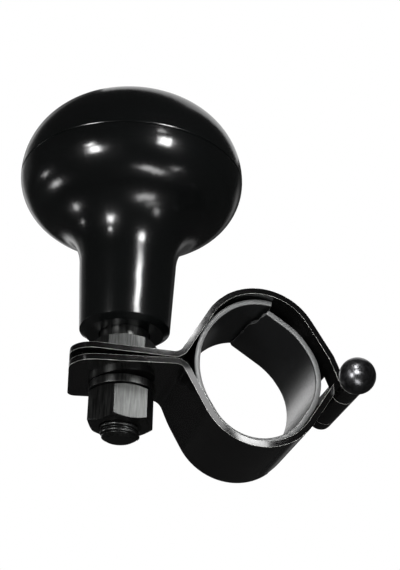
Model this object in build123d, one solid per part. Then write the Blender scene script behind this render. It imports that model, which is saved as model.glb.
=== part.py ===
from build123d import *
import os
from math import asin, atan2, cos, degrees, hypot, radians, sin, sqrt

# Steering wheel spinner knob: a mushroom knob on two ball bearings, carried by a bolt
# that also closes a hinged two-strap clamp round the wheel's rim. Millimetres.
# X runs from the knob's axis to the clamp's hinge, Y along the rim, Z up the knob's axis.
# The origin is the centre of the wheel's rim, which lies in the lower strap's lined hollow.

# Clamp ring
sheet = 1.8                 # thickness of both straps
band_front = 18.0           # knob axis to the band's front edge
band_width = 34.0           # width of both straps round the ring
arm = 38.9                  # knob axis to the centre of the rim
tab_rise = 7.0              # middle of the upper tab above the centre of the rim
upper_r = 18.1              # radius of the upper strap's round back, to mid sheet
upper_rise = 13.4           # centre of that round above the centre of the rim
lower_r = 18.3              # the same radius of the lower strap, about the centre of the rim
bend_r = 4.0                # radius of the bends next to the tabs, to mid sheet
upper_bend = 12.0           # knob axis to the centre of the upper strap's bend
lower_bend = 12.8

# Tabs that the bolt passes through
tab_reach = 18.9            # knob axis to the front corner of the tabs' free end
tab_skew = 3.8              # how far that end slants back along its length
tab_back = 11.0             # knob axis to the tabs' back edge
tab_corner = 7.0            # radius of the tabs' front corner
tab_back_corner = 3.0
tab_waist = 8.0             # length over which the band narrows to the tab
waist_round = 4.0
waist_place = 10.0          # knob axis to the start of that narrowing
tab_gap = 0.55              # gap between the straps next to the bend
tab_slope = 3.8             # degrees that the open lower strap slopes away

# Hinge
pin_x = 28.85               # hinge pin from the centre of the rim
pin_z = 4.9
pin_d = 5.0                 # bore of the rolled knuckles
pin_play = 0.05             # radial clearance of the pin
curl = 300.0                # degrees that each knuckle is rolled
neck_r = 6.0                # bend of the upper strap next to its knuckle, to mid sheet
neck_x = 16.9               # centre of that bend
neck_z = 9.3
knuckle_front = 8.0         # length of the upper strap's front knuckle
knuckle_middle = 17.6       # length of the lower strap's knuckle
knuckle_back = 4.8          # length of the upper strap's back knuckle
knuckle_gap = 0.3           # gap between knuckles
notch_reach = 6.2           # how far the straps are cut back round the other's knuckles
hinge_step = 17.0           # hinge pin to the step where the band narrows
ball_d = 11.2               # ball head of the hinge pin
rivet_d = 7.0               # closed end of the hinge pin
rivet_h = 0.9

# Rubber lining: a loose strip bent into five rounds
lining = 1.7                # thickness
lining_width = 29.5
lining_set = 3.0            # lining behind the band's front edge
lining_gap = 0.3            # clearance from the lower strap
top_ease = 1.9              # extra radius of the round under the upper strap
top_shift = 1.45            # that round's centre from the strap's
top_drop = 2.3
left_ease = 7.2             # extra radius of the round next to the bolt
left_shift = 4.35           # that round's centre from the centre of the rim
left_rise = 6.7
hinge_ease = 2.2            # the same sizes of the round next to the hinge
hinge_shift = 0.5
hinge_rise = 4.8
flap_ease = 6.4             # the same sizes of the round that leads to the tucked end
flap_shift = -3.6
flap_rise = 3.4
lining_outer_end = 81.0     # degrees of the outer end, measured from X
lining_inner_end = 57.0     # degrees where the end tucked under it turns straight
lining_flap = 7.2           # straight length of that end

# Bolt, nut and washer
thread_d = 12.0
thread_pitch = 1.75
nut_af = 18.0
nut_h = 10.8
nut_turn = 8.5              # degrees of the nut's front flat from the clamp's front
lock_d = 20.4               # outer diameter of the spring washer
lock_bore = 12.4
lock_h = 2.5
lock_split = 3.0            # width of the cut in the spring washer
bolt_out = 4.1              # length of bolt that shows below the nut
bolt_chamfer = 1.3
hole_play = 0.25            # radial clearance of the bolt in the upper tab
slot_play = 1.6             # extra length of the slot in the lower tab
slot_shift = 0.6            # middle of that slot in front of the knob's axis
collar_af = 19.0            # hexagon that seats on the upper tab
collar_h = 8.0
collar_turn = -4.5          # degrees of its front flat from the clamp's front

# Knob
knob_gap = 3.6              # hexagon to the foot of the knob
head_d = 73.0
foot_wall = 2.1             # wall of the foot round the bearing
neck_rise = 1.25            # how much further out the neck is where it starts to flare
foot_bevel = 2.0            # bevel round the foot, inwards and upwards
foot_bevel_h = 1.5
foot_play = 0.5             # gap between the foot and the bolt's shoulder
head_rise = 55.9            # foot to the widest part of the head
bowl_r = 17.0               # radius of the head's lower side
flare_r = 18.0              # radius of the flare under the head
dome_r = 24.5               # radius of the cap's side
dome_turn = 59.0            # degrees up the side where the flatter top starts
seam_drop = 1.0             # seam below the widest part
seam_bevel = 0.3
wall = 3.0                  # wall of the head
lip = 1.2                   # wall of the cap's locating lip
lip_h = 3.0
lip_play = 0.1
rib = 1.8                   # thickness of the ribs inside the head
rib_h = 7.0
rib_count = 6

# Bearings
bearing_bore = 12.0
bearing_d = 24.0            # outer diameter
bearing_w = 6.0
bearing_ledge = 3.4         # floor under the lower bearing
bearing_spread = 24.0       # distance between the two bearings
race_share = 0.27           # wall of a race as a share of the bearing's section
ball_share = 0.58           # ball as a share of that section
ball_count = 9
ball_play = 0.02
cage_wall = 1.2
cage_h = 3.0                # height of the crown shaped cage
cage_base = 2.1             # cage below the middle of the balls
shield = 0.4
shield_set = 0.2            # shield below the face of the bearing
spacer_wall = 1.5
fit_play = 0.03             # radial clearance of bearings and spacers

# Rings that hold the bearings
shim_lap = 0.9              # shim beyond the inner race
shim_h = 1.0
clip_h = 1.0
clip_wall = 2.2
clip_depth = 0.3            # depth of the groove on the bolt
snap_h = 1.2
snap_wall = 2.0
snap_depth = 0.6            # depth of the groove in the knob
clip_opening = 3.0
clip_turn = 40.0            # degrees of each ring's opening from the hinge side
snap_turn = 200.0
bolt_tip = 2.0              # bolt above its ring

# Values that follow
section = (bearing_d - bearing_bore) / 2
race_wall = race_share * section
ball_size = ball_share * section
shim_d = bearing_bore + 2 * race_wall + 2 * shim_lap
foot_d = bearing_d + 2 * foot_wall
neck_d = foot_d + 2 * neck_rise
shoulder_r = bearing_bore / 2 + race_wall - 0.1
half = sheet / 2
front = -band_front
back = band_width - band_front
band_mid = (front + back) / 2
hinge_back = front + knuckle_front + knuckle_middle + knuckle_back + 2 * knuckle_gap
knuckle_r = pin_d / 2 + half
grip_r = lower_r - half - lining_gap - lining
collar_z = tab_rise + half
collar_top = collar_z + collar_h
foot_z = collar_top + knob_gap
ledge_z = foot_z + bearing_ledge
upper_z = ledge_z + bearing_w + bearing_spread
race_top = upper_z + bearing_w
head_z = foot_z + head_rise
seam_z = head_z - seam_drop
head_r = head_d / 2
bowl_x = head_r - bowl_r
floor_z = head_z - (bowl_r - wall)
lower_slope = radians(tab_slope)
tab_end_x = -arm - tab_reach
lower_tab_x = -arm + waist_place
beyond_hinge = pin_x + 4 * knuckle_r
cut_depth = 3 * lower_r
lower_tab_z = tab_rise - sheet - tab_gap
lock_edge = -arm - lock_d / 2
lock_top = lower_tab_z - (lower_tab_x - lock_edge) * sin(lower_slope) / cos(lower_slope)
lock_top -= half / cos(lower_slope) + 0.005
nut_top = lock_top - lock_h
nut_bottom = nut_top - nut_h
bolt_end = nut_bottom - bolt_out
thread_r = thread_d / 2 - 0.325 * thread_pitch
race_pitch_r = (bearing_bore + bearing_d) / 4
lift = Pos(-arm, 0, 0)


def heading(a, b):
    """Direction of the straight run between two stops of a path, in radians."""
    dx = b[0] - a[0]
    dz = b[1] - a[1]
    return atan2(dz, dx) - asin((b[2] - a[2]) / hypot(dx, dz))


def beside(stop, angle, offset):
    """Point on a stop's circle where a run with this heading touches it."""
    r = stop[2] - offset
    return (stop[0] + r * sin(angle), stop[1] - r * cos(angle))


def side(stops, headings, offset):
    """Edges along one side of a strip; each stop is x, z and a radius, minus for a right turn."""
    edges = []
    for i, stop in enumerate(stops):
        arrive = headings[i]
        leave = headings[i + 1]
        if abs(leave - arrive) > 1e-6 and abs(stop[2]) > 0:
            edges.append(ThreePointArc(
                beside(stop, arrive, offset),
                beside(stop, (arrive + leave) / 2, offset),
                beside(stop, leave, offset)))
        if i + 1 < len(stops):
            start = beside(stop, leave, offset)
            end = beside(stops[i + 1], leave, offset)
            edges.append(Line(start, end))
    return edges


def strip(stops, thickness, first=None, last=None):
    """Face of a bent strip that runs round circles, with straight runs between them."""
    headings = [heading(a, b) for a, b in zip(stops, stops[1:])]
    headings = [headings[0] if first is None else first] + headings
    headings.append(headings[-1] if last is None else last)
    for i, stop in enumerate(stops):
        while stop[2] > 0 and headings[i + 1] < headings[i] - 1e-9:
            headings[i + 1] += radians(360)
        while stop[2] < 0 and headings[i + 1] > headings[i] + 1e-9:
            headings[i + 1] -= radians(360)
    left = side(stops, headings, thickness / 2)
    right = side(stops, headings, -thickness / 2)
    ends = [Line(left[0] @ 0, right[0] @ 0), Line(left[-1] @ 1, right[-1] @ 1)]
    return Plane.XZ * make_face(Curve() + left + right + ends)


def turned(*points):
    """Solid of revolution about the knob's axis from a closed outline."""
    return revolve(Plane.XZ * make_face(Polyline(*points, close=True)), Axis.Z)


def tube(outer_r, inner_r, z, height):
    """Plain ring or sleeve about the knob's axis."""
    ring = Cylinder(outer_r, height, align=(Align.CENTER, Align.CENTER, Align.MIN))
    bore = Cylinder(inner_r, height, align=(Align.CENTER, Align.CENTER, Align.MIN))
    return Pos(0, 0, z) * (ring - bore)


def hexagon(across_flats, z, height, turn):
    """Hexagonal prism with both ends rounded off by a 30 degree cone."""
    flat_r = across_flats / 2
    corner_r = flat_r / cos(radians(30))
    rise = (corner_r - flat_r) * 0.62
    prism = extrude(RegularPolygon(flat_r, 6, major_radius=False), height)
    cone = turned(
        (0, 0), (flat_r * 0.97, 0), (corner_r + 0.1, rise + 0.1),
        (corner_r + 0.1, height - rise - 0.1), (flat_r * 0.97, height), (0, height))
    return Pos(0, 0, z) * Rot(0, 0, turn) * (prism & cone)


def band_of(face):
    """Strap's section drawn out to the band's width."""
    return Pos(0, band_mid, 0) * extrude(face, band_width / 2, both=True)


def tab_outline():
    """Vertical prism with the tabs' plan: what lies outside it is cut off a strap."""
    x0 = tab_end_x
    waist_start = lower_tab_x
    points = [
        (x0, front), (beyond_hinge, front), (beyond_hinge, back),
        (waist_start + tab_waist, back), (waist_start, tab_back), (x0 + tab_skew, tab_back)]
    face = make_face(Polyline(*points, close=True))
    corner = face.vertices().sort_by(Axis.X)[:2].sort_by(Axis.Y)
    face = fillet(corner[:1], tab_corner)
    corner = face.vertices().filter_by_position(Axis.X, x0, x0 + tab_skew + 0.1).sort_by(Axis.Y)
    face = fillet(corner[-1:], tab_back_corner)
    waist = face.vertices().filter_by_position(Axis.X, waist_start - 1, waist_start + tab_waist + 1)
    waist = waist.filter_by_position(Axis.Y, tab_back - 1, back + 1)
    face = fillet(waist, waist_round)
    return extrude(face, cut_depth, both=True)


def hinge_cut(y0, y1, reach):
    """Space cut from a strap between two depths, as far as reach before the hinge pin."""
    size = y1 - y0
    tall = 4 * knuckle_r + 2 * reach
    block = Box(reach + 2 * knuckle_r, size, tall, align=(Align.MIN, Align.MIN, Align.CENTER))
    return Pos(pin_x - reach, y0, pin_z) * block


def hinge_trim():
    """The band's narrower back edge next to the hinge."""
    reach = hinge_step + 4 * knuckle_r
    block = Box(reach, band_width, 2 * cut_depth, align=(Align.MIN, Align.MIN, Align.CENTER))
    edges = block.edges().filter_by(Axis.Z).sort_by(Axis.X)[:1]
    block = fillet(edges, sheet)
    return Pos(pin_x - hinge_step, hinge_back, 0) * block


def bolt_slot(play, length):
    """Upright hole through a tab, longer along X where length asks for it."""
    width = thread_d + 2 * play
    plan = SlotCenterToCenter(length, width) if length > 0 else Circle(width / 2)
    return extrude(plan, cut_depth, both=True)


def upper_strap():
    stops = [
        (tab_end_x - 1, tab_rise, 0),
        (upper_bend - arm, tab_rise + bend_r, bend_r),
        (0, upper_rise, -upper_r),
        (neck_x, neck_z, -neck_r),
        (pin_x, pin_z, knuckle_r)]
    last = heading(stops[-2], stops[-1]) + radians(curl)
    band = band_of(strip(stops, sheet, last=last)) & tab_outline()
    band -= hinge_trim()
    y1 = front + knuckle_front
    band -= hinge_cut(y1, y1 + knuckle_middle + 2 * knuckle_gap, notch_reach)
    return band - lift * bolt_slot(hole_play, 0)


def lower_strap():
    rise = (lower_tab_x - tab_end_x + 1) * sin(lower_slope) / cos(lower_slope)
    bend_x = lower_bend - arm
    bend_z = lower_tab_z + (bend_x - lower_tab_x) * sin(lower_slope) - bend_r * cos(lower_slope)
    stops = [
        (tab_end_x - 1, lower_tab_z - rise, 0),
        (bend_x, bend_z, -bend_r),
        (0, 0, lower_r),
        (pin_x, pin_z, -knuckle_r)]
    last = heading(stops[-2], stops[-1]) - radians(curl)
    band = band_of(strip(stops, sheet, last=last)) & tab_outline()
    band -= hinge_trim()
    y1 = front + knuckle_front + knuckle_gap
    y2 = y1 + knuckle_middle
    band -= hinge_cut(front - 1, y1, notch_reach)
    band -= hinge_cut(y2, hinge_back + 1, notch_reach)
    return band - lift * Pos(-slot_shift, 0, 0) * bolt_slot(hole_play, slot_play)


def hinge_pin():
    shank_r = pin_d / 2 - pin_play
    ball_r = ball_d / 2
    seat = knuckle_r + half - 0.4
    ball_y = front - sqrt(ball_r ** 2 - seat ** 2)
    shank = Cylinder(shank_r, hinge_back - front + rivet_h, align=(Align.CENTER, Align.CENTER, Align.MIN))
    rivet = Cylinder(rivet_d / 2, rivet_h, align=(Align.CENTER, Align.CENTER, Align.MIN))
    rivet = chamfer(rivet.edges().group_by(Axis.Z)[-1], rivet_h * 0.6)
    along = Plane(origin=(pin_x, front, pin_z), x_dir=(1, 0, 0), z_dir=(0, 1, 0))
    keep = Box(2 * ball_d, 2 * ball_d, 2 * (front - ball_y) + 2 * ball_r)
    ball = Sphere(ball_r) & Pos(0, 0, -ball_r) * keep
    ball = Pos(0, 0, ball_y - front) * ball
    body = shank + ball + Pos(0, 0, hinge_back - front) * rivet
    return along * body


def rubber_lining():
    mid = grip_r + lining / 2
    end = radians(lining_inner_end)
    flap_r = mid + flap_ease
    tip_x = flap_shift + flap_r * cos(end) - lining_flap * sin(end)
    tip_z = flap_rise + flap_r * sin(end) + lining_flap * cos(end)
    stops = [
        (top_shift, upper_rise - top_drop, upper_r - half - lining / 2 + top_ease),
        (left_shift, left_rise, mid + left_ease),
        (0, 0, mid),
        (hinge_shift, hinge_rise, mid + hinge_ease),
        (flap_shift, flap_rise, flap_r),
        (tip_x, tip_z, 0)]
    face = strip(stops, lining, first=radians(lining_outer_end + 90))
    depth = front + lining_set + lining_width / 2
    return Pos(0, depth, 0) * extrude(face, lining_width / 2, both=True)


def bolt():
    seat_r = bearing_bore / 2 - fit_play
    clip_z = race_top + shim_h
    groove_r = seat_r - clip_depth
    tip_z = clip_z + clip_h + bolt_tip
    shank_r = thread_d / 2
    thread_top = nut_top + 1.0
    shaft = turned(
        (0, bolt_end), (thread_r - bolt_chamfer, bolt_end), (thread_r, bolt_end + bolt_chamfer * 0.6),
        (thread_r, thread_top), (shank_r, thread_top + 0.6),
        (shank_r, collar_z), (shoulder_r, collar_z), (shoulder_r, ledge_z), (seat_r, ledge_z),
        (seat_r, clip_z), (groove_r, clip_z), (groove_r, clip_z + clip_h), (seat_r, clip_z + clip_h),
        (seat_r, tip_z - 0.6), (seat_r - 0.6, tip_z), (0, tip_z))
    return lift * (shaft + hexagon(collar_af, collar_z, collar_h, collar_turn))


def hex_nut():
    body = hexagon(nut_af, nut_bottom, nut_h, nut_turn)
    bore_r = thread_r + 0.05
    mouth = thread_d / 2 + 0.4
    bore = turned(
        (0, nut_bottom - 1), (mouth + 1, nut_bottom - 1), (mouth, nut_bottom),
        (bore_r, nut_bottom + 0.8), (bore_r, nut_top - 0.8), (mouth, nut_top),
        (mouth + 1, nut_top + 1), (0, nut_top + 1))
    return lift * (body - bore)


def spring_washer():
    ring = tube(lock_d / 2, lock_bore / 2, nut_top, lock_h)
    cut = Box(lock_d, lock_split * 0.35, 3 * lock_h, align=(Align.MIN, Align.CENTER, Align.CENTER))
    cut = Pos(0, 0, nut_top + lock_h / 2) * Rot(0, 0, 60) * Rot(25, 0, 0) * cut
    return lift * (ring - cut)


def head_profile():
    """Corner points and arcs that the bowl and the cap share."""
    flare_x = neck_d / 2 + flare_r
    flare_z = head_z - sqrt((bowl_r + flare_r) ** 2 - (flare_x - bowl_x) ** 2)
    way = hypot(bowl_x - flare_x, head_z - flare_z)
    meet_x = flare_x + (bowl_x - flare_x) * flare_r / way
    meet_z = flare_z + (head_z - flare_z) * flare_r / way
    return flare_x, flare_z, meet_x, meet_z


def arc(x, z, r, start, end):
    """Round edge about a centre, from one angle to another, in degrees."""
    return CenterArc((x, z), r, start, end - start)


def knob_body():
    flare_x, flare_z, meet_x, meet_z = head_profile()
    seam_r = bowl_x + sqrt(bowl_r ** 2 - seam_drop ** 2)
    foot_r = foot_d / 2
    meet_angle = degrees(atan2(meet_z - flare_z, meet_x - flare_x))
    bowl_start = degrees(atan2(meet_z - head_z, meet_x - bowl_x))
    bowl_end = -degrees(asin((seam_drop + seam_bevel) / bowl_r))
    bevel_x = bowl_x + bowl_r * cos(radians(bowl_end))
    edges = [
        Line((0, foot_z), (foot_r - foot_bevel, foot_z)),
        Line((foot_r - foot_bevel, foot_z), (foot_r, foot_z + foot_bevel_h)),
        Line((foot_r, foot_z + foot_bevel_h), (neck_d / 2, flare_z)),
        arc(flare_x, flare_z, flare_r, 180, meet_angle),
        arc(bowl_x, head_z, bowl_r, bowl_start, bowl_end),
        Line((bevel_x, seam_z - seam_bevel), (seam_r - seam_bevel, seam_z)),
        Line((seam_r - seam_bevel, seam_z), (0, seam_z)),
        Line((0, seam_z), (0, foot_z))]
    body = revolve(Plane.XZ * make_face(Curve() + edges), Axis.Z)
    inner_r = bowl_r - wall
    top_angle = -degrees(asin(seam_drop / inner_r))
    rim_x = bowl_x + inner_r * cos(radians(top_angle))
    hollow = [
        Line((0, floor_z), (bowl_x, floor_z)),
        arc(bowl_x, head_z, inner_r, -90, top_angle),
        Line((rim_x, seam_z), (0, seam_z)),
        Line((0, seam_z), (0, floor_z))]
    hollow = revolve(Plane.XZ * make_face(Curve() + hollow), Axis.Z)
    body -= hollow
    lip_r = rim_x + 0.6
    body -= tube(lip_r, rim_x - 4, seam_z - lip_h, lip_h)
    ribs = []
    for i in range(rib_count):
        web = Box(rim_x - bearing_d / 2 - 3, rib, rib_h, align=(Align.MIN, Align.CENTER, Align.MIN))
        ribs.append(Rot(0, 0, 360 * i / rib_count) * Pos(bearing_d / 2 + 3, 0, floor_z) * web)
    body += hollow & (Part() + ribs)
    bore_r = shoulder_r + foot_play
    pocket_r = bearing_d / 2
    snap_z = race_top
    body -= turned(
        (0, foot_z - 1), (bore_r, foot_z - 1), (bore_r, ledge_z), (pocket_r, ledge_z),
        (pocket_r, snap_z), (pocket_r + snap_depth, snap_z), (pocket_r + snap_depth, snap_z + snap_h),
        (pocket_r, snap_z + snap_h), (pocket_r, floor_z + 1), (0, floor_z + 1))
    return lift * body


def knob_cap():
    seam_r = bowl_x + sqrt(bowl_r ** 2 - seam_drop ** 2)
    side_x = head_r - dome_r
    top_angle = 90 - dome_turn
    top_x = 0
    top_z = head_z - side_x * sin(radians(dome_turn)) / cos(radians(dome_turn))
    top_r = dome_r + side_x / cos(radians(dome_turn))
    low = -degrees(asin((seam_drop - seam_bevel) / bowl_r))
    low_x = bowl_x + bowl_r * cos(radians(low))
    outside = [
        Line((0, seam_z), (seam_r - seam_bevel, seam_z)),
        Line((seam_r - seam_bevel, seam_z), (low_x, seam_z + seam_bevel)),
        arc(bowl_x, head_z, bowl_r, low, 0),
        arc(side_x, head_z, dome_r, 0, dome_turn),
        arc(top_x, top_z, top_r, dome_turn, dome_turn + top_angle),
        Line((0, top_z + top_r), (0, seam_z))]
    cap = revolve(Plane.XZ * make_face(Curve() + outside), Axis.Z)
    inner_r = head_r - wall
    inside = [
        Line((0, seam_z), (inner_r, seam_z)),
        Line((inner_r, seam_z), (inner_r, head_z)),
        arc(side_x, head_z, dome_r - wall, 0, dome_turn),
        arc(top_x, top_z, top_r - wall, dome_turn, dome_turn + top_angle),
        Line((0, top_z + top_r - wall), (0, seam_z))]
    cap -= revolve(Plane.XZ * make_face(Curve() + inside), Axis.Z)
    rim_x = bowl_x + sqrt((bowl_r - wall) ** 2 - seam_drop ** 2)
    lip_r = rim_x + 0.6 - lip_play
    cap += tube(lip_r, lip_r - lip, seam_z - lip_h + lip_play, lip_h + 1.5)
    return lift * cap


def race(outer_r, inner_r, z):
    """Bearing race with its ball groove."""
    ring = tube(outer_r, inner_r, z, bearing_w)
    groove = Torus(race_pitch_r, ball_size / 2 + ball_play)
    return ring - Pos(0, 0, z + bearing_w / 2) * groove


def outer_race(z):
    return lift * race(bearing_d / 2, bearing_d / 2 - race_wall, z)


def inner_race(z):
    return lift * race(bearing_bore / 2 + race_wall, bearing_bore / 2, z)


def ball_ring(radius):
    """Balls, or their pockets, spaced round the pitch circle."""
    step = 360 / ball_count
    return [Rot(0, 0, i * step) * Pos(race_pitch_r, 0, 0) * Sphere(radius) for i in range(ball_count)]


def balls(z):
    return lift * Pos(0, 0, z + bearing_w / 2) * (Part() + ball_ring(ball_size / 2))


def cage(z):
    ring = tube(race_pitch_r + cage_wall / 2, race_pitch_r - cage_wall / 2, -cage_base, cage_h)
    ring -= ball_ring(ball_size / 2 + 2 * ball_play)
    return lift * Pos(0, 0, z + bearing_w / 2) * ring


def shields(z):
    outer = bearing_d / 2 - race_wall
    inner = bearing_bore / 2 + race_wall + 0.1
    low = tube(outer, inner, z + shield_set, shield)
    high = tube(outer, inner, z + bearing_w - shield_set - shield, shield)
    return lift * (low + high)


def open_ring(outer_r, inner_r, z, height, lug_r, turn):
    """Open retaining ring with a lug and an eye at each end."""
    ring = tube(outer_r, inner_r, z, height)
    reach = max(outer_r, lug_r) + 3
    gap = Box(reach, clip_opening, 3 * height, align=(Align.MIN, Align.CENTER, Align.CENTER))
    lugs = []
    eyes = []
    for way in (-1, 1):
        spot = Pos(lug_r, way * (clip_opening / 2 + 0.9), z)
        lugs.append(spot * Cylinder(1.5, height, align=(Align.CENTER, Align.CENTER, Align.MIN)))
        eyes.append(spot * Cylinder(0.6, height, align=(Align.CENTER, Align.CENTER, Align.MIN)))
    body = ring + lugs - eyes - Pos(0, 0, z + height / 2) * gap
    return Rot(0, 0, turn) * body


def bolt_ring():
    groove_r = bearing_bore / 2 - clip_depth
    lug_r = groove_r + clip_wall - 0.6
    return lift * open_ring(groove_r + clip_wall, groove_r, race_top + shim_h, clip_h, lug_r, clip_turn)


def knob_ring():
    groove_r = bearing_d / 2 + snap_depth
    inner_r = groove_r - snap_wall - snap_depth
    return lift * open_ring(groove_r, inner_r, race_top, snap_h, inner_r + 0.5, snap_turn)


def write(parts):
    """Write each named piece as a STEP file."""
    os.makedirs("parts", exist_ok=True)
    for name, solid in parts.items():
        export_step(solid, f"parts/{name}.step")


sleeve_z = ledge_z + bearing_w
write({
    "knob_body": knob_body(),
    "knob_cap": knob_cap(),
    "bolt": bolt(),
    "lower_bearing_outer_race": outer_race(ledge_z),
    "lower_bearing_inner_race": inner_race(ledge_z),
    "lower_bearing_balls": balls(ledge_z),
    "lower_bearing_cage": cage(ledge_z),
    "lower_bearing_shields": shields(ledge_z),
    "upper_bearing_outer_race": outer_race(upper_z),
    "upper_bearing_inner_race": inner_race(upper_z),
    "upper_bearing_balls": balls(upper_z),
    "upper_bearing_cage": cage(upper_z),
    "upper_bearing_shields": shields(upper_z),
    "outer_spacer": lift * tube(bearing_d / 2, bearing_d / 2 - spacer_wall, sleeve_z, bearing_spread),
    "inner_spacer": lift * tube(bearing_bore / 2 + spacer_wall, bearing_bore / 2, sleeve_z, bearing_spread),
    "shim_washer": lift * tube(shim_d / 2, bearing_bore / 2, race_top, shim_h),
    "bolt_retaining_ring": bolt_ring(),
    "knob_retaining_ring": knob_ring(),
    "upper_strap": upper_strap(),
    "lower_strap": lower_strap(),
    "hinge_pin": hinge_pin(),
    "rubber_lining": rubber_lining(),
    "spring_washer": spring_washer(),
    "hex_nut": hex_nut(),
})
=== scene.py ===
"""Steering wheel spinner knob: finishes, screw thread and rubber lining over its CAD frame."""
import math
import random
import bpy
import bmesh
from bpy.props import FloatProperty, FloatVectorProperty, PointerProperty
from mathutils import Matrix, Vector


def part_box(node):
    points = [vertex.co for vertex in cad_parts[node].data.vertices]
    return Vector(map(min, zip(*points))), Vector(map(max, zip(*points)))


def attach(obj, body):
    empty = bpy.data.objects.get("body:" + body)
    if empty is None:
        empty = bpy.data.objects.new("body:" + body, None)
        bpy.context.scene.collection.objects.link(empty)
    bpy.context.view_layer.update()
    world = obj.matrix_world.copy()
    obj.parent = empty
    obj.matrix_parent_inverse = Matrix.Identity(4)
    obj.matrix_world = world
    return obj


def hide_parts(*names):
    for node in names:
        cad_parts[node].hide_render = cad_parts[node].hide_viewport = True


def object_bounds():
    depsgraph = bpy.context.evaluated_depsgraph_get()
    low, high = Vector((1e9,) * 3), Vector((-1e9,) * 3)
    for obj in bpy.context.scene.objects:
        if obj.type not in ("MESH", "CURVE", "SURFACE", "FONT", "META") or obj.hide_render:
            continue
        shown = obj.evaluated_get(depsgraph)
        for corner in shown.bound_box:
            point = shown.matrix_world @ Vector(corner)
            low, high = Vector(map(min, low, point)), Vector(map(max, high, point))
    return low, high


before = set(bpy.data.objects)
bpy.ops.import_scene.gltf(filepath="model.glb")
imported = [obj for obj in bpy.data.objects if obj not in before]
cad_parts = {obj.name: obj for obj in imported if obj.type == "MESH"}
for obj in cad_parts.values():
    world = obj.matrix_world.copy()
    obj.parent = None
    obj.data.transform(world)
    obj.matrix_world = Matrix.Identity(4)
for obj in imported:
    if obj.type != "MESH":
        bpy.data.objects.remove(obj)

bl_info = {
    "name": "Steering Wheel Spinner Knob",
    "version": (1, 0, 0),
    "blender": (4, 5, 0),
    "location": "3D View > Sidebar > Spinner Knob",
    "description": "Finishes, screw thread and rubber lining of a clamp-on spinner knob",
    "category": "Object",
}

MM = 0.001
CAD_BOX = [list(corner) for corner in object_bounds()]

# Edges of the CAD pieces: distances in millimetres, angles in degrees
WELD = 0.01             # loose corners closer than this are one corner
ROUND_FROM = 35.0       # an edge sharper than this is rounded
ROUND_STEPS = 2
SMOOTH_UP_TO = 32.0     # an edge flatter than this is shaded smooth
KNOB_EDGE = 0.25
NUT_EDGE = 0.2

# Screw thread: heights in millimetres, the ridge's section in parts of the pitch
THREAD_END = 1.2        # plain end of the stud under the thread
THREAD_IN_NUT = 0.8     # how far the thread goes on past the nut's top
RIDGE_DEPTH = 0.36      # from the crest to just under the plain stud's surface
RIDGE_FOOT = 0.47       # half the ridge's width at its foot
RIDGE_CREST = 0.08      # half the ridge's width at its crest
TURN_STEPS = 64

# Rubber strip: distances in millimetres, angles in degrees
# The rounds that it is bent into, each with x, z and radius to mid strip, then the point of its end
STRIP_STOPS = (
    (1.45, 11.1, 18.25), (4.35, 6.7, 23.45), (0.0, 0.0, 16.25), (0.5, 4.8, 18.45),
    (-3.6, 3.4, 22.65), (2.698, 26.317, 0.0))
STRIP_START = 171.0     # heading of its first run
STRIP_FRONT = -15.0     # where its front edge lies along the rim
STRIP_BEVEL = 0.16      # bevel along its long edges
STRIP_STEP = 0.9        # about the length of a step round a bend
STRIP_END_STEPS = 12    # steps along its last, straight run
STRIP_ROWS = 44         # rows of faces across it
STRIP_SHARP = 50.0      # an edge sharper than this isn't shaded smooth
CUT_INSET = 0.12        # how far the full section stands back from a cut end
CUT_THICKNESS = 0.93    # part of the thickness that a cut end has left
RAGGED_BY = 0.6         # how far the knife strayed on the inner end
RAGGED_NOTCHES = 15
RAGGED_SEED = 4

# Sockets of a Mix node that is set to colour
MIX_FIRST, MIX_SECOND, MIX_RESULT = 6, 7, 2
# Range in which nearly all values of a noise lie
NOISE_LOW, NOISE_HIGH = 0.3, 0.7

# White backdrop that the gloss mirrors: the axis of its direction, where it starts on that axis
# and is full, and what is left of it before its start
BACKDROP = (("Z", 0.08, 0.3, 0.0), ("X", -0.5, -0.2, 0.15), ("Y", 0.5, 0.8, 0.0))
# Black card in it, behind the object and a little to the right and above the camera's way:
# the direction of its middle, where its soft edge starts and is full, and its level
CARD_WAY = (0.303, 0.75, 0.588)
CARD_EDGE = (0.84, 0.94)
CARD_LEVEL = 0.04
MIRRORED_LEVEL = 0.02   # what the gloss shows of the rest of the room
PLAIN_LEVEL = 0.55      # the room's plain light on everything
WHITE = "#ffffff"

FLOOR_BELOW = 0.16      # metres under the object, so that the camera stands over it
FLOOR_HALF = 3.0        # metres from its middle to its edge
# painted reflection: the floor's colour as the gloss of the object shows it
MIRRORED_FLOOR = "#303030"

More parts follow.
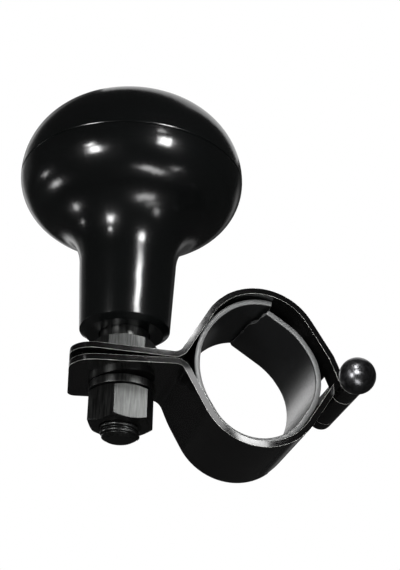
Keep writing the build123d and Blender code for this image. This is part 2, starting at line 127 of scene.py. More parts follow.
# Lamps: name, the spot of the object that mirrors it (millimetres), the way from there to the
# lamp (azimuth and elevation, degrees), how far it is, its width and height (metres), and watts
LAMPS = (
    # light strip up the neck
    ("neck_softbox", (-37.8, -14.8, 38), (17.5, 16), 0.09, (0.018, 0.022), 0.046),
    # small light high on the front of the head
    ("head_lamp", (-40, -45, 85), (19.5, 9.4), 0.1, (0.014, 0.009), 0.007),
    # front faces of the nut
    ("nut_lamp", (-36, -10, -14), (30, 24), 0.05, (0.02, 0.02), 0.008),
    # spot on the hinge pin's ball
    ("ball_lamp", (26.7, -27.1, 3.8), (-24, 0), 0.04, (0.013, 0.013), 0.012),
    # large light on the left of the head
    ("left_softbox", (-56.2, -29.4, 66.7), (-50, -25), 0.4, (0.08, 0.08), 0.8),
    # spot where the neck flares out on the left
    ("flare_lamp", (-47.5, -13.9, 48.6), (-50, -3), 0.12, (0.014, 0.008), 0.016),
    # corner between neck and head on the left
    ("corner_lamp", (-55.2, -7.7, 52.2), (-112, -13), 0.35, (0.025, 0.015), 0.03),
    # low on the head's left side
    ("side_softbox", (-65.2, -13.7, 61.8), (-122, -36), 0.25, (0.035, 0.035), 0.045),
    # underside of the head
    ("low_softbox", (-38.3, -29.8, 61.9), (29, -68), 0.19, (0.07, 0.03), 0.07),
    # sheen of the rubber strip in the lower hollow
    ("lining_softbox", (12, 5, -8), (-163, 31), 0.15, (0.045, 0.035), 0.019),
    # soft light from above and behind
    ("top_softbox", (-31, 0, 37), (150, 55), 1.4, (0.9, 0.9), 2.2),
)

# Camera: place in metres, the way it looks (azimuth and elevation) and its roll in degrees,
# lens and sensor width in millimetres, and the nearest thing that it sees in metres
CAMERA_PLACE = (-0.09693, -0.33963, -0.14301)
CAMERA_TURN = (-13.55, 27.73, -1.06)
CAMERA_LENS = 77.34
CAMERA_SENSOR = 36
CAMERA_NEAREST = 0.01


def colour(hex_code):
    """Linear RGBA from an sRGB hex code."""
    parts = [int(hex_code[i:i + 2], 16) / 255 for i in (1, 3, 5)]
    return [p / 12.92 if p <= 0.04045 else ((p + 0.055) / 1.055) ** 2.4 for p in parts] + [1.0]


def shade(tone, factor):
    """Lighter or darker shade of a linear colour."""
    return [min(1.0, part * factor) for part in tone[:3]] + [1.0]


def pattern(size):
    """Scale of a noise whose patches are a size in millimetres across."""
    return 1 / (size * MM)


def swatch(name, hex_code, about):
    """Colour property with its default from a hex code."""
    return FloatVectorProperty(
        name=name, description=about, default=colour(hex_code), size=4, min=0, max=1,
        subtype="COLOR")


def length(name, default, about, low, high):
    """Length property with its default and limits in millimetres."""
    return FloatProperty(
        name=name, description=about, default=default * MM, min=low * MM, max=high * MM,
        precision=5, unit="LENGTH")


class SpinnerColours(bpy.types.PropertyGroup):
    """Colours of the finishes."""
    knob: swatch("Knob", "#060707", "Moulded plastic of the knob")
    lacquer: swatch("Lacquer", "#060606", "Gloss lacquer on the straps")
    # painted highlight: a pale colour for the straps' rounded edges, in place of the light they
    # catch
    edge_highlight_tone: swatch("Painted edge highlight", "#f0f0ec", "Painted highlight on the straps' rounded edges")
    zinc: swatch("Zinc", "#555655", "Plated steel of the bolt, nut and washer")
    pin: swatch("Pin", "#6c6c6e", "Blackened steel of the hinge pin")
    rubber: swatch("Rubber", "#0f1011", "Skin of the rubber strip")
    rubber_cut: swatch("Cut rubber", "#656666", "Cut edges of the rubber strip")
    steel: swatch("Bearing steel", "#b9bbbe", "Ground steel of races and spacers")
    spring: swatch("Spring steel", "#3a3a3c", "Phosphated steel of the retaining rings")
    nylon: swatch("Cage nylon", "#cfc8b0", "Natural nylon of the ball cages")
    floor: swatch("Floor", "#f4f4f3", "Matt floor")


class SpinnerSizes(bpy.types.PropertyGroup):
    """Sizes of the forms that are added here."""
    pitch: length("Thread pitch", 1.75, "Distance between two ridges of the thread", 0.5, 4)
    thread_d: length("Thread size", 12, "Outer diameter of the thread", 4, 20)
    lining: length("Lining", 1.7, "Thickness of the rubber strip", 0.5, 4)
    lining_width: length("Lining width", 29.5, "Width of the rubber strip", 10, 40)
    lining_slant: length("End slant", 4.8, "How much longer the strip is at its back edge", 0, 8)
    lining_corner: length("End corner", 2.6, "Rounding of the strip's back corner", 0, 8)
    edge: length("Edge rounding", 0.5, "Rounding of the straps' cut edges", 0.05, 0.8)


def node(tree, kind, inputs=None, **settings):
    """Add a node with its settings, and set its inputs or link them to other nodes' sockets."""
    made = tree.nodes.new(kind)
    for key, value in settings.items():
        setattr(made, key, value)
    for key, value in (inputs or {}).items():
        if isinstance(value, bpy.types.NodeSocket):
            tree.links.new(value, made.inputs[key])
        else:
            made.inputs[key].default_value = value
    return made


def new_material(name):
    """Empty node material, its tree and the place on the piece that its patterns read."""
    material = bpy.data.materials.new(name)
    material.use_nodes = True
    tree = material.node_tree
    tree.nodes.clear()
    return material, tree, node(tree, "ShaderNodeTexCoord").outputs["Object"]


def moulded_plastic(tone):
    """ABS, moulded in a polished tool."""
    # The eye gets a deep black with clear reflections, which orange peel and scuffs break a little.
    material, tree, place = new_material("moulded_abs_gloss_black")
    # orange peel, 3 mm across
    peel = node(tree, "ShaderNodeTexNoise", {
        "Vector": place, "Scale": pattern(3.03), "Detail": 2, "Roughness": 0.4})
    # scuffs and dust, under 0.1 mm on the real one, drawn at 0.4 mm so that they show
    scuff = node(tree, "ShaderNodeTexNoise", {
        "Vector": place, "Scale": pattern(0.4), "Detail": 4, "Roughness": 0.6})
    # patches that hands have dulled, a thumb's breadth across
    dulled = node(tree, "ShaderNodeTexNoise", {
        "Vector": place, "Scale": pattern(22.22), "Detail": 3, "Roughness": 0.55})
    rough = node(tree, "ShaderNodeMapRange", {
        "Value": dulled.outputs["Fac"], "From Min": NOISE_LOW, "From Max": NOISE_HIGH,
        "To Min": 0.15, "To Max": 0.22})
    base = node(tree, "ShaderNodeMix", {
        "Factor": scuff.outputs["Fac"], MIX_FIRST: tone, MIX_SECOND: shade(tone, 1.35)},
        data_type="RGBA")
    waves = node(tree, "ShaderNodeBump", {
        "Height": peel.outputs["Fac"], "Strength": 0.05, "Distance": 0.2 * MM})
    fine = node(tree, "ShaderNodeBump", {
        "Height": scuff.outputs["Fac"], "Normal": waves.outputs["Normal"],
        "Strength": 0.04, "Distance": 0.1 * MM})
    shader = node(tree, "ShaderNodeBsdfPrincipled", {
        "Base Color": base.outputs[MIX_RESULT], "Roughness": rough.outputs["Result"],
        "Normal": fine.outputs["Normal"], "IOR": 1.53})
    node(tree, "ShaderNodeOutputMaterial", {"Surface": shader.outputs["BSDF"]})
    return material


def strap_lacquer(tone):
    """Sheet steel, stove enamelled."""
    # The eye gets a wet black gloss with a slight flow in its reflections and specks of dust.
    material, tree, place = new_material("stove_enamelled_sheet_steel")
    # waves of the lacquer's flow, 4 mm across
    flow = node(tree, "ShaderNodeTexNoise", {
        "Vector": place, "Scale": pattern(4.167), "Detail": 2, "Roughness": 0.5})
    # dust in the lacquer, under 0.1 mm on the real one, drawn at 0.4 mm so that it shows
    dust = node(tree, "ShaderNodeTexNoise", {
        "Vector": place, "Scale": pattern(0.3846), "Detail": 3, "Roughness": 0.6})
    base = node(tree, "ShaderNodeMix", {
        "Factor": dust.outputs["Fac"], MIX_FIRST: tone, MIX_SECOND: shade(tone, 1.6)},
        data_type="RGBA")
    rough = node(tree, "ShaderNodeMapRange", {
        "Value": flow.outputs["Fac"], "From Min": NOISE_LOW, "From Max": NOISE_HIGH,
        "To Min": 0.1, "To Max": 0.16})
    bump = node(tree, "ShaderNodeBump", {
        "Height": flow.outputs["Fac"], "Strength": 0.06, "Distance": 0.2 * MM})
    shader = node(tree, "ShaderNodeBsdfPrincipled", {
        "Base Color": base.outputs[MIX_RESULT], "Roughness": rough.outputs["Result"],
        "Normal": bump.outputs["Normal"], "IOR": 1.52})
    node(tree, "ShaderNodeOutputMaterial", {"Surface": shader.outputs["BSDF"]})
    return material


def painted_edge_highlight(lacquer, edge_highlight_tone):
    """Painted highlight on the sheet's rounded cut edges: a pale colour in place of the light they
    catch.
    """
    # The eye gets a thin painted highlight along each edge, brighter in some lengths, dimmer in
    # others.
    material, tree, place = new_material("painted_edge_highlight_on_lacquer")
    # lengths of brighter and dimmer painted highlight, about 6 mm long
    highlight_lengths = node(tree, "ShaderNodeTexNoise", {
        "Vector": place, "Scale": pattern(6.25), "Detail": 2})
    share = node(tree, "ShaderNodeMapRange", {
        "Value": highlight_lengths.outputs["Fac"], "From Min": NOISE_LOW, "From Max": 0.5,
        "To Min": 0.3, "To Max": 1.0})
    base = node(tree, "ShaderNodeMix", {
        "Factor": share.outputs["Result"], MIX_FIRST: lacquer, MIX_SECOND: edge_highlight_tone},
        data_type="RGBA")
    shader = node(tree, "ShaderNodeBsdfPrincipled", {
        "Base Color": base.outputs[MIX_RESULT], "Roughness": 0.4})
    node(tree, "ShaderNodeOutputMaterial", {"Surface": shader.outputs["BSDF"]})
    return material


def worked_steel(name, tone, rough_low, rough_high, marks):
    """Steel that was drawn, ground or rolled, and then plated, blackened or left bare."""
    # The eye gets a grey metal, lighter and darker along its tool marks, with a cloudy finish.
    material, tree, place = new_material(name)
    # tool marks, with their size in millimetres along x, y and z
    turned = node(tree, "ShaderNodeMapping", {
        "Vector": place, "Scale": [pattern(size) for size in marks]})
    lines = node(tree, "ShaderNodeTexNoise", {
        "Vector": turned.outputs["Vector"], "Scale": 1.0, "Detail": 3, "Roughness": 0.6})
    # clouds of the finish, 6 mm across
    cloud = node(tree, "ShaderNodeTexNoise", {
        "Vector": place, "Scale": pattern(6.25), "Detail": 4, "Roughness": 0.6})
    streak = node(tree, "ShaderNodeMapRange", {
        "Value": lines.outputs["Fac"], "From Min": 0.38, "From Max": 0.62})
    light = node(tree, "ShaderNodeMath", {
        0: streak.outputs["Result"], 1: cloud.outputs["Fac"]}, operation="MULTIPLY")
    base = node(tree, "ShaderNodeMix", {
        "Factor": light.outputs[0], MIX_FIRST: shade(tone, 0.6), MIX_SECOND: shade(tone, 1.7)},
        data_type="RGBA")
    rough = node(tree, "ShaderNodeMapRange", {
        "Value": lines.outputs["Fac"], "From Min": NOISE_LOW, "From Max": NOISE_HIGH,
        "To Min": rough_low, "To Max": rough_high})
    bump = node(tree, "ShaderNodeBump", {
        "Height": lines.outputs["Fac"], "Strength": 0.12, "Distance": 0.1 * MM})
    shader = node(tree, "ShaderNodeBsdfPrincipled", {
        "Base Color": base.outputs[MIX_RESULT], "Roughness": rough.outputs["Result"],
        "Normal": bump.outputs["Normal"], "Metallic": 1.0})
    node(tree, "ShaderNodeOutputMaterial", {"Surface": shader.outputs["BSDF"]})
    return material


def strip_rubber(skin_tone, cut_tone):
    """Vulcanised rubber strip, cut from a sheet."""
    # The eye gets a black skin with a soft sheen, and grey grainy edges where the knife went.
    material, tree, place = new_material("vulcanised_rubber_strip")
    cut = node(tree, "ShaderNodeAttribute", attribute_name="cut").outputs["Fac"]
    # grain of the rubber, 0.5 mm
    grain = node(tree, "ShaderNodeTexNoise", {
        "Vector": place, "Scale": pattern(0.5263), "Detail": 4, "Roughness": 0.65})
    # bloom on the skin, in patches 14 mm across
    bloom = node(tree, "ShaderNodeTexNoise", {
        "Vector": place, "Scale": pattern(14.29), "Detail": 3, "Roughness": 0.5})
    skin = node(tree, "ShaderNodeMix", {
        "Factor": bloom.outputs["Fac"], MIX_FIRST: shade(skin_tone, 0.7), MIX_SECOND: skin_tone},
        data_type="RGBA")
    edge = node(tree, "ShaderNodeMix", {
        "Factor": grain.outputs["Fac"], MIX_FIRST: shade(cut_tone, 0.75), MIX_SECOND: cut_tone},
        data_type="RGBA")
    base = node(tree, "ShaderNodeMix", {
        "Factor": cut, MIX_FIRST: skin.outputs[MIX_RESULT], MIX_SECOND: edge.outputs[MIX_RESULT]},
        data_type="RGBA")
    rough = node(tree, "ShaderNodeMapRange", {
        "Value": grain.outputs["Fac"], "From Min": NOISE_LOW, "From Max": NOISE_HIGH,
        "To Min": 0.34, "To Max": 0.48})
    bump = node(tree, "ShaderNodeBump", {
        "Height": grain.outputs["Fac"], "Strength": 0.15, "Distance": 0.1 * MM})
    # the IOR is a little over rubber's own, matched to the sheen that the strip shows
    shader = node(tree, "ShaderNodeBsdfPrincipled", {
        "Base Color": base.outputs[MIX_RESULT], "Roughness": rough.outputs["Result"],
        "Normal": bump.outputs["Normal"], "IOR": 1.62})
    node(tree, "ShaderNodeOutputMaterial", {"Surface": shader.outputs["BSDF"]})
    return material


def cage_nylon(tone):
    """Natural nylon, injection moulded."""
    # The eye gets an off-white, waxy plastic with a slight cloud in it.
    material, tree, place = new_material("moulded_nylon_cage")
    # clouds from the moulding's flow, 3 mm across
    cloud = node(tree, "ShaderNodeTexNoise", {
        "Vector": place, "Scale": pattern(3.333), "Detail": 3})
    base = node(tree, "ShaderNodeMix", {
        "Factor": cloud.outputs["Fac"], MIX_FIRST: shade(tone, 0.85), MIX_SECOND: tone},
        data_type="RGBA")
    bump = node(tree, "ShaderNodeBump", {
        "Height": cloud.outputs["Fac"], "Strength": 0.05, "Distance": 0.1 * MM})
    shader = node(tree, "ShaderNodeBsdfPrincipled", {
        "Base Color": base.outputs[MIX_RESULT], "Roughness": 0.45,
        "Normal": bump.outputs["Normal"]})
    node(tree, "ShaderNodeOutputMaterial", {"Surface": shader.outputs["BSDF"]})
    return material


def dress(material, *names):
    """Give CAD nodes one material."""
    for name in names:
        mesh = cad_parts[name].data
        mesh.materials.clear()
        mesh.materials.append(material)


def group_tree(name, *sockets):
    """Geometry node tree with a geometry input and output and further named inputs."""
    tree = bpy.data.node_groups.new(name, "GeometryNodeTree")
    for way in ("INPUT", "OUTPUT"):
        tree.interface.new_socket("Geometry", in_out=way, socket_type="NodeSocketGeometry")
    for label, kind in sockets:
        tree.interface.new_socket(label, in_out="INPUT", socket_type=kind)
    return tree, node(tree, "NodeGroupInput").outputs


def shading_tree():
    """Tree that shades a piece smooth, except across its sharper edges."""
    name = "smooth_by_angle"
    if name in bpy.data.node_groups:
        return bpy.data.node_groups[name]
    tree, given = group_tree(name)
    faces = node(tree, "GeometryNodeSetShadeSmooth", {
        "Geometry": given["Geometry"], "Shade Smooth": True}, domain="FACE")
    angle = node(tree, "GeometryNodeInputMeshEdgeAngle")
    sharp = node(tree, "FunctionNodeCompare", {
        "A": angle.outputs["Unsigned Angle"], "B": math.radians(SMOOTH_UP_TO)},
        operation="GREATER_THAN")
    edges = node(tree, "GeometryNodeSetShadeSmooth", {
        "Geometry": faces.outputs[0], "Selection": sharp.outputs[0], "Shade Smooth": False},
        domain="EDGE")
    node(tree, "NodeGroupOutput", {"Geometry": edges.outputs[0]})
    return tree


def soften(name, width, highlight_paint=None):
    """Round a CAD node's sharp edges with live modifiers; worn paints a highlight on the rounding.
    """
    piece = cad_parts[name]
    weld = piece.modifiers.new("join", "WELD")
    weld.merge_threshold = WELD * MM
    bevel = piece.modifiers.new("round", "BEVEL")
    bevel.width = width
    bevel.segments = ROUND_STEPS
    bevel.limit_method = "ANGLE"
    bevel.angle_limit = math.radians(ROUND_FROM)
    bevel.use_clamp_overlap = True
    # the rounding gets the material with the painted highlight, if one is given
    if highlight_paint:
        piece.data.materials.append(highlight_paint)
        bevel.material = 1
    smooth = piece.modifiers.new("shade", "NODES")
    smooth.node_group = shading_tree()
    weighted = piece.modifiers.new("flat faces", "WEIGHTED_NORMAL")
    weighted.keep_sharp = True


def plain_mesh(name, maker):
    """Make a plain mesh object of what an object's modifiers give, and delete that object."""
    bpy.context.view_layer.update()
    graph = bpy.context.evaluated_depsgraph_get()
    mesh = bpy.data.meshes.new_from_object(maker.evaluated_get(graph))
    mesh.name = name
    start = maker.data
    bpy.data.objects.remove(maker)
    bpy.data.meshes.remove(start)
    piece = bpy.data.objects.new(name, mesh)
    bpy.context.scene.collection.objects.link(piece)
    return piece


def heading(a, b):
    """Direction of the straight run between two rounds of the strip's path, in radians."""
    run_x, run_z = b[0] - a[0], b[1] - a[1]
    return math.atan2(run_z, run_x) - math.asin((b[2] - a[2]) / math.hypot(run_x, run_z))


def strip_line(extra):
    """Points and headings along the middle of the strip, with its last run made longer."""
    leaves = [heading(a, b) for a, b in zip(STRIP_STOPS, STRIP_STOPS[1:])]
    arrive = math.radians(STRIP_START)
    line = []
    for (x, z, r), leave in zip(STRIP_STOPS, leaves):
        while leave < arrive:
            leave += 2 * math.pi
        steps = max(2, round((leave - arrive) * r / STRIP_STEP))
        for k in range(steps + 1):
            angle = arrive + (leave - arrive) * k / steps
            line.append((x + r * math.sin(angle), z - r * math.cos(angle), angle))
        arrive = leave
    x, z, angle = line[-1]
    end_x = STRIP_STOPS[-1][0] + extra * math.cos(angle)
    end_z = STRIP_STOPS[-1][1] + extra * math.sin(angle)
    for k in range(1, STRIP_END_STEPS + 1):
        part = k / STRIP_END_STEPS
        line.append((x + (end_x - x) * part, z + (end_z - z) * part, angle))
    return line


def strip_section(half, width):
    """Points round the strip's section: place across it, height over its middle, 1 on an edge."""
    back, low = STRIP_FRONT + width, half - STRIP_BEVEL
    face = width - 2 * STRIP_BEVEL
    across = [STRIP_FRONT + STRIP_BEVEL + face * k / STRIP_ROWS for k in range(STRIP_ROWS + 1)]
    return ([(y, half, 0.0) for y in across]
            + [(back, height, 1.0) for height in (low, 0.0, -low)]
            + [(y, -half, 0.0) for y in reversed(across)]
            + [(STRIP_FRONT, height, 1.0) for height in (-low, 0.0, low)])


def end_reach(y, width, slant, corner, strays):
    """How far the strip's inner end goes past its stop, by slant, round corner and ragged cut."""
    share = (y - STRIP_FRONT) / width
    beside = max(0.0, corner - (STRIP_FRONT + width - y))
    rounded = corner - math.sqrt(max(0.0, corner ** 2 - beside ** 2))
    place = share * RAGGED_NOTCHES
    notch = int(place)
    ragged = strays[notch] * (1 - place + notch) + strays[notch + 1] * (place - notch)
    return slant * share - rounded + ragged


def strip_rings(form, section, lines):
    """Rings of points along the strip, the first and last a little thinner and marked as cut."""
    mark = form.verts.layers.float.new("cut")
    last = len(lines[section[0][0]]) - 1
    stations = ([(0, 0.0, CUT_THICKNESS), (0, CUT_INSET, 1.0)]
                + [(k, 0.0, 1.0) for k in range(1, last)]
                + [(last, -CUT_INSET, 1.0), (last, 0.0, CUT_THICKNESS)])
    rings = []
    for k, inset, thickness in stations:
        ring = []
        for y, height, cut in section:
            x, z, angle = lines[y][k]
            over = height * thickness
            point = Vector((x + inset * math.cos(angle) + over * math.sin(angle), y,
                            z + inset * math.sin(angle) - over * math.cos(angle)))
            vert = form.verts.new(point * MM)
            vert[mark] = 1.0 if thickness < 1 else cut
            ring.append(vert)
        rings.append(ring)
    return rings


def close_strip_end(form, ring):
    """Faces over a cut end, from the outer to the inner side of the strip."""
    face = STRIP_ROWS + 1
    outer, back, inner, front = (
        ring[:face], ring[face:face + 3], ring[face + 3:2 * face + 3][::-1], ring[2 * face + 3:])
    for i in range(STRIP_ROWS):
        form.faces.new((outer[i], outer[i + 1], inner[i + 1], inner[i]))
    form.faces.new((outer[-1], *back, inner[-1]))
    form.faces.new((inner[0], *front, outer[0]))


def strip_mesh(sizes):
    """Bent rubber strip with bevelled edges, a slanting and ragged inner end, and marked cuts."""
    thick, width, slant, corner = (size / MM for size in (
        sizes.lining, sizes.lining_width, sizes.lining_slant, sizes.lining_corner))
    random.seed(RAGGED_SEED)
    strays = [random.uniform(-RAGGED_BY, RAGGED_BY) for _ in range(RAGGED_NOTCHES + 2)]
    section = strip_section(thick / 2, width)
    lines = {y: strip_line(end_reach(y, width, slant, corner, strays)) for y, _, _ in section}
    form = bmesh.new()
    rings = strip_rings(form, section, lines)
    count = len(section)
    for a, b in zip(rings, rings[1:]):
        for i in range(count):
            form.faces.new((a[i], a[(i + 1) % count], b[(i + 1) % count], b[i]))
    close_strip_end(form, rings[0])
    close_strip_end(form, rings[-1])
    bmesh.ops.recalc_face_normals(form, faces=form.faces)
    mesh = bpy.data.meshes.new("rubber_strip")
    form.to_mesh(mesh)
    form.free()
    mesh.shade_smooth()
    mesh.set_sharp_from_angle(angle=math.radians(STRIP_SHARP))
    return mesh


def thread_tree():
    """Tree that winds a ridge round the stud: a helix with a trapezium for its section."""
    tree, given = group_tree(
        "screw_thread", ("Pitch", "NodeSocketFloat"), ("Root radius", "NodeSocketFloat"),
        ("Depth", "NodeSocketFloat"), ("Length", "NodeSocketFloat"),
        ("Place", "NodeSocketVector"), ("Material", "NodeSocketMaterial"))
    turns = node(tree, "ShaderNodeMath", {
        0: given["Length"], 1: given["Pitch"]}, operation="DIVIDE")
    helix = node(tree, "GeometryNodeCurveSpiral", {
        "Resolution": TURN_STEPS, "Rotations": turns.outputs[0], "Height": given["Length"],
        "Start Radius": given["Root radius"], "End Radius": given["Root radius"]})
    upright = node(tree, "GeometryNodeSetCurveNormal", {"Curve": helix.outputs[0]}, mode="Z_UP")
    outwards = node(tree, "ShaderNodeMath", {
        0: given["Depth"], 1: -1.0}, operation="MULTIPLY").outputs[0]
    corners = {}
    trapezium = ((0.0, -RIDGE_FOOT), (outwards, -RIDGE_CREST), (outwards, RIDGE_CREST),
                 (0.0, RIDGE_FOOT))
    for number, (out, share) in enumerate(trapezium, 1):
        side = node(tree, "ShaderNodeMath", {
            0: given["Pitch"], 1: share}, operation="MULTIPLY")
        corner = node(tree, "ShaderNodeCombineXYZ", {"X": out, "Y": side.outputs[0]})
        corners[f"Point {number}"] = corner.outputs[0]
    section = node(tree, "GeometryNodeCurvePrimitiveQuadrilateral", corners, mode="POINTS")
    ridge = node(tree, "GeometryNodeCurveToMesh", {
        "Curve": upright.outputs[0], "Profile Curve": section.outputs[0], "Fill Caps": True})
    placed = node(tree, "GeometryNodeTransform", {
        "Geometry": ridge.outputs[0], "Translation": given["Place"]})
    whole = node(tree, "GeometryNodeRealizeInstances", {"Geometry": placed.outputs[0]})
    dressed = node(tree, "GeometryNodeSetMaterial", {
        "Geometry": whole.outputs[0], "Material": given["Material"]})
    node(tree, "NodeGroupOutput", {"Geometry": dressed.outputs[0]})
    return tree


def socket_id(tree, name):
    """Identifier of a tree's named input."""
    return next(item.identifier for item in tree.interface.items_tree
                if item.name == name and item.in_out == "INPUT")


class SPINNER_OT_knob(bpy.types.Operator):
    """Finish the knob's body and cap"""
    bl_idname = "spinner.knob"
    bl_label = "Knob"

    def execute(self, context):
        dress(moulded_plastic(context.scene.spinner_colours.knob), "knob_body", "knob_cap")
        for name in ("knob_body", "knob_cap"):
            soften(name, KNOB_EDGE * MM)
        return {"FINISHED"}


class SPINNER_OT_straps(bpy.types.Operator):
    """Finish the two straps and round their cut edges, with a painted highlight on the rounding"""
    bl_idname = "spinner.straps"
    bl_label = "Straps"

    def execute(self, context):
        colours = context.scene.spinner_colours
        dress(strap_lacquer(colours.lacquer), "upper_strap", "lower_strap")
        # painted highlight on the rounded edges of the straps
        highlight_paint = painted_edge_highlight(colours.lacquer, colours.edge_highlight_tone)
        for name in ("upper_strap", "lower_strap"):
            soften(name, context.scene.spinner_sizes.edge, highlight_paint)
        return {"FINISHED"}


class SPINNER_OT_pin(bpy.types.Operator):
    """Finish the hinge pin"""
    bl_idname = "spinner.pin"
    bl_label = "Hinge pin"

    def execute(self, context):
        # polishing marks, under 0.1 mm on the real one, drawn as 1.5 mm dapples so that they show
        dress(worked_steel("blackened_steel_pin", context.scene.spinner_colours.pin,
                           0.28, 0.34, (1.515, 1.515, 1.515)), "hinge_pin")
        return {"FINISHED"}


class SPINNER_OT_fasteners(bpy.types.Operator):
    """Finish the bolt, nut and spring washer"""
    bl_idname = "spinner.fasteners"
    bl_label = "Bolt, nut and washer"

    def execute(self, context):
        # draw lines of the bar, 7.6 mm long and 0.25 mm apart on the real one, drawn twice as
        # far apart so that they show
        dress(worked_steel("dark_zinc_plated_steel", context.scene.spinner_colours.zinc,
                           0.28, 0.42, (0.505, 0.505, 7.576)),
              "bolt", "hex_nut", "spring_washer")
        for name in ("hex_nut", "spring_washer"):
            soften(name, NUT_EDGE * MM)
        return {"FINISHED"}


class SPINNER_OT_thread(bpy.types.Operator):
    """Wind the screw thread round the bolt's stud"""
    bl_idname = "spinner.thread"
    bl_label = "Screw thread"

    def execute(self, context):
        sizes = context.scene.spinner_sizes
        low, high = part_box("bolt")
        nut_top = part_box("hex_nut")[1].z
        middle = (low + high) / 2
        depth = RIDGE_DEPTH * sizes.pitch
        start = low.z + THREAD_END * MM
        tree = thread_tree()
        maker = bpy.data.objects.new("thread_maker", bpy.data.meshes.new("thread_maker"))
        context.scene.collection.objects.link(maker)
        ridge = maker.modifiers.new("thread", "NODES")
        ridge.node_group = tree
        values = {
            "Pitch": sizes.pitch, "Root radius": sizes.thread_d / 2 - depth, "Depth": depth,
            "Length": nut_top + THREAD_IN_NUT * MM - start,
            "Place": Vector((middle.x, middle.y, start)),
            "Material": bpy.data.materials["dark_zinc_plated_steel"]}
        for name, value in values.items():
            ridge[socket_id(tree, name)] = value
        thread = plain_mesh("screw_thread", maker)
        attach(thread, "clamp")
        return {"FINISHED"}


class SPINNER_OT_lining(bpy.types.Operator):
    """Bend the rubber strip into the clamp"""
    bl_idname = "spinner.lining"
    bl_label = "Rubber lining"

    def execute(self, context):
        colours = context.scene.spinner_colours
        mesh = strip_mesh(context.scene.spinner_sizes)
        mesh.materials.append(strip_rubber(colours.rubber, colours.rubber_cut))
        piece = bpy.data.objects.new("rubber_strip", mesh)
        context.scene.collection.objects.link(piece)
        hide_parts("rubber_lining")
        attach(piece, "clamp")
        return {"FINISHED"}


class SPINNER_OT_bearings(bpy.types.Operator):
    """Finish the bearings, spacers and rings inside the knob"""
    bl_idname = "spinner.bearings"
    bl_label = "Bearings"

    def execute(self, context):
        colours = context.scene.spinner_colours
        # grinding lines round the axis, under 0.1 mm on the real ones, drawn 0.3 mm apart
        ground = worked_steel("ground_bearing_steel", colours.steel,
                              0.15, 0.25, (1.515, 1.515, 0.303))
        # crystals of the phosphate, under 0.1 mm on the real ones, drawn at 1.1 mm
        spring = worked_steel("phosphated_spring_steel", colours.spring,
                              0.4, 0.55, (1.136, 1.136, 1.136))
        nylon = cage_nylon(colours.nylon)
        dress(ground, "outer_spacer", "inner_spacer", "shim_washer")
        dress(spring, "bolt_retaining_ring", "knob_retaining_ring")
        for level in ("lower", "upper"):
            for part in ("outer_race", "inner_race", "balls", "shields"):
                dress(ground, f"{level}_bearing_{part}")
            dress(nylon, f"{level}_bearing_cage")
        return {"FINISHED"}


class SPINNER_OT_stage(bpy.types.Operator):
    """Set the floor, the studio lights and the camera"""
    bl_idname = "spinner.stage"
    bl_label = "Stage"

    def execute(self, context):
        scene = context.scene
        scene.view_settings.view_transform = "Standard"
        build_world(scene)
        build_floor(scene)
        build_lights(scene)
        build_camera(scene)
        return {"FINISHED"}


def build_world(scene):
    """White to the camera, plain light on the object, and for its gloss a backdrop with a card."""
    world = bpy.data.worlds.new("studio")
    scene.world = world
    world.use_nodes = True
    tree = world.node_tree
    tree.nodes.clear()
    way = node(tree, "ShaderNodeTexCoord").outputs["Generated"]
    sides = node(tree, "ShaderNodeSeparateXYZ", {"Vector": way})
    backdrop = 1.0
    for axis, start, full, least in BACKDROP:
        opened = node(tree, "ShaderNodeMapRange", {
            "Value": sides.outputs[axis], "From Min": start, "From Max": full,
            "To Min": least}, interpolation_type="SMOOTHSTEP")
        backdrop = node(tree, "ShaderNodeMath", {
            0: backdrop, 1: opened.outputs["Result"]}, operation="MULTIPLY").outputs[0]
    # the card keeps the gloss dark along the object's outline
    beside = node(tree, "ShaderNodeVectorMath", {0: way, 1: CARD_WAY}, operation="DOT_PRODUCT")
    card = node(tree, "ShaderNodeMapRange", {
        "Value": beside.outputs["Value"], "From Min": CARD_EDGE[0], "From Max": CARD_EDGE[1],
        "To Min": 1.0, "To Max": CARD_LEVEL}, interpolation_type="SMOOTHSTEP")
    open_part = node(tree, "ShaderNodeMath", {
        0: backdrop, 1: card.outputs["Result"]}, operation="MULTIPLY")
    level = node(tree, "ShaderNodeMapRange", {
        "Value": open_part.outputs[0], "To Min": MIRRORED_LEVEL})
    plain, mirrored, white = (
        node(tree, "ShaderNodeBackground", {"Color": colour(WHITE), "Strength": strength})
        for strength in (PLAIN_LEVEL, level.outputs["Result"], 1.0))
    rays = node(tree, "ShaderNodeLightPath").outputs
    bounced = node(tree, "ShaderNodeMath", {
        0: rays["Is Glossy Ray"], 1: rays["Is Transmission Ray"]}, operation="MAXIMUM")
    lit = node(tree, "ShaderNodeMixShader", {
        0: bounced.outputs[0], 1: plain.outputs[0], 2: mirrored.outputs[0]})
    seen = node(tree, "ShaderNodeMixShader", {
        0: rays["Is Camera Ray"], 1: lit.outputs[0], 2: white.outputs[0]})
    node(tree, "ShaderNodeOutputWorld", {"Surface": seen.outputs[0]})


def floor_paint(tone):
    """Floor paint, rolled on and matt."""
    # The eye gets an even, pale ground; the gloss of the object shows it dark, like its own shade.
    material, tree, place = new_material("matt_floor_paint")
    # clouds of the roller's lapping, 0.3 m across
    cloud = node(tree, "ShaderNodeTexNoise", {
        "Vector": place, "Scale": pattern(333.3), "Detail": 2})
    base = node(tree, "ShaderNodeMix", {
        "Factor": cloud.outputs["Fac"], MIX_FIRST: shade(tone, 0.97), MIX_SECOND: tone},
        data_type="RGBA")
    # painted reflection: to the object's gloss the floor is a dark grey, not its own pale colour
    rays = node(tree, "ShaderNodeLightPath")
    seen = node(tree, "ShaderNodeMix", {
        "Factor": rays.outputs["Is Glossy Ray"], MIX_FIRST: base.outputs[MIX_RESULT],
        MIX_SECOND: colour(MIRRORED_FLOOR)}, data_type="RGBA")
    shader = node(tree, "ShaderNodeBsdfPrincipled", {
        "Base Color": seen.outputs[MIX_RESULT], "Roughness": 0.9})
    node(tree, "ShaderNodeOutputMaterial", {"Surface": shader.outputs["BSDF"]})
    return material


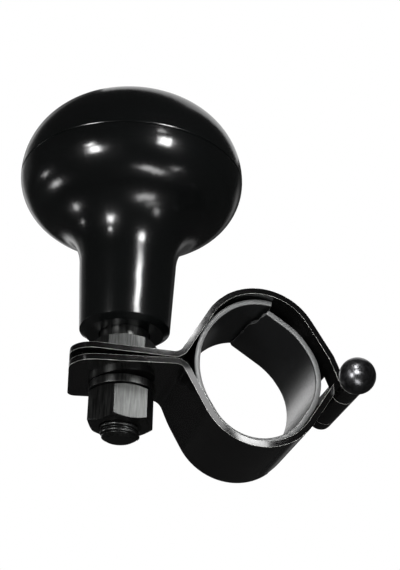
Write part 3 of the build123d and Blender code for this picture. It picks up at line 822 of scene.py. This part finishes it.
def build_floor(scene):
    """Pale floor under the object and the camera."""
    form = bmesh.new()
    bmesh.ops.create_grid(form, x_segments=2, y_segments=2, size=FLOOR_HALF)
    mesh = bpy.data.meshes.new("studio_floor")
    form.to_mesh(mesh)
    form.free()
    mesh.transform(Matrix.Translation((0, 0, CAD_BOX[0][2] - FLOOR_BELOW)))
    mesh.materials.append(floor_paint(scene.spinner_colours.floor))
    floor = bpy.data.objects.new("studio_floor", mesh)
    scene.collection.objects.link(floor)


def build_lights(scene):
    """Softboxes, most of them small and near, each turned to the spot whose gloss shows it."""
    for name, spot, turn, distance, (width, height), watts in LAMPS:
        light = bpy.data.lights.new(name, "AREA")
        light.shape = "RECTANGLE"
        light.size = width
        light.size_y = height
        light.energy = watts
        azimuth, elevation = map(math.radians, turn)
        way = Vector((math.sin(azimuth) * math.cos(elevation),
                      -math.cos(azimuth) * math.cos(elevation), math.sin(elevation)))
        lamp = bpy.data.objects.new(name, light)
        lamp.location = Vector(spot) * MM + way * distance
        lamp.rotation_euler = (-way).to_track_quat("-Z", "Y").to_euler()
        lamp.visible_camera = False
        scene.collection.objects.link(lamp)


def build_camera(scene):
    """Camera of the photograph, below the object and in front of it."""
    azimuth, elevation, roll = map(math.radians, CAMERA_TURN)
    side = Vector((math.cos(azimuth), math.sin(azimuth), 0))
    ahead = Vector((-math.sin(azimuth) * math.cos(elevation),
                    math.cos(azimuth) * math.cos(elevation), math.sin(elevation)))
    above = side.cross(ahead)
    right = math.cos(roll) * side - math.sin(roll) * above
    up = math.sin(roll) * side + math.cos(roll) * above
    camera = bpy.data.objects.new("camera", bpy.data.cameras.new("camera"))
    camera.data.lens = CAMERA_LENS
    camera.data.sensor_width = CAMERA_SENSOR
    camera.data.clip_start = CAMERA_NEAREST
    axes = Matrix((right, up, -ahead)).transposed().to_4x4()
    camera.matrix_world = Matrix.Translation(CAMERA_PLACE) @ axes
    scene.collection.objects.link(camera)
    scene.camera = camera


class SPINNER_PT_panel(bpy.types.Panel):
    """Sidebar list of the knob's sizes, colours and pieces"""
    bl_idname = "SPINNER_PT_panel"
    bl_label = "Spinner Knob"
    bl_space_type = "VIEW_3D"
    bl_region_type = "UI"
    bl_category = "Spinner Knob"

    def draw(self, context):
        for group in (context.scene.spinner_sizes, context.scene.spinner_colours):
            for name in group.__annotations__:
                self.layout.prop(group, name)
        for operator in OPERATORS:
            self.layout.operator(operator.bl_idname)


OPERATORS = (
    SPINNER_OT_knob, SPINNER_OT_straps, SPINNER_OT_pin, SPINNER_OT_fasteners, SPINNER_OT_thread,
    SPINNER_OT_lining, SPINNER_OT_bearings, SPINNER_OT_stage)
CLASSES = (SpinnerColours, SpinnerSizes) + OPERATORS + (SPINNER_PT_panel,)


def register():
    """Register the classes and hang the sizes and colours on the scene."""
    for item in CLASSES:
        bpy.utils.register_class(item)
    bpy.types.Scene.spinner_colours = PointerProperty(type=SpinnerColours)
    bpy.types.Scene.spinner_sizes = PointerProperty(type=SpinnerSizes)


def unregister():
    """Take off again what register adds."""
    del bpy.types.Scene.spinner_sizes
    del bpy.types.Scene.spinner_colours
    for item in reversed(CLASSES):
        bpy.utils.unregister_class(item)


def main():
    """Build every piece and the stage."""
    register()
    for operator in OPERATORS:
        group, name = operator.bl_idname.split(".")
        getattr(getattr(bpy.ops, group), name)()


if __name__ == "__main__":
    main()
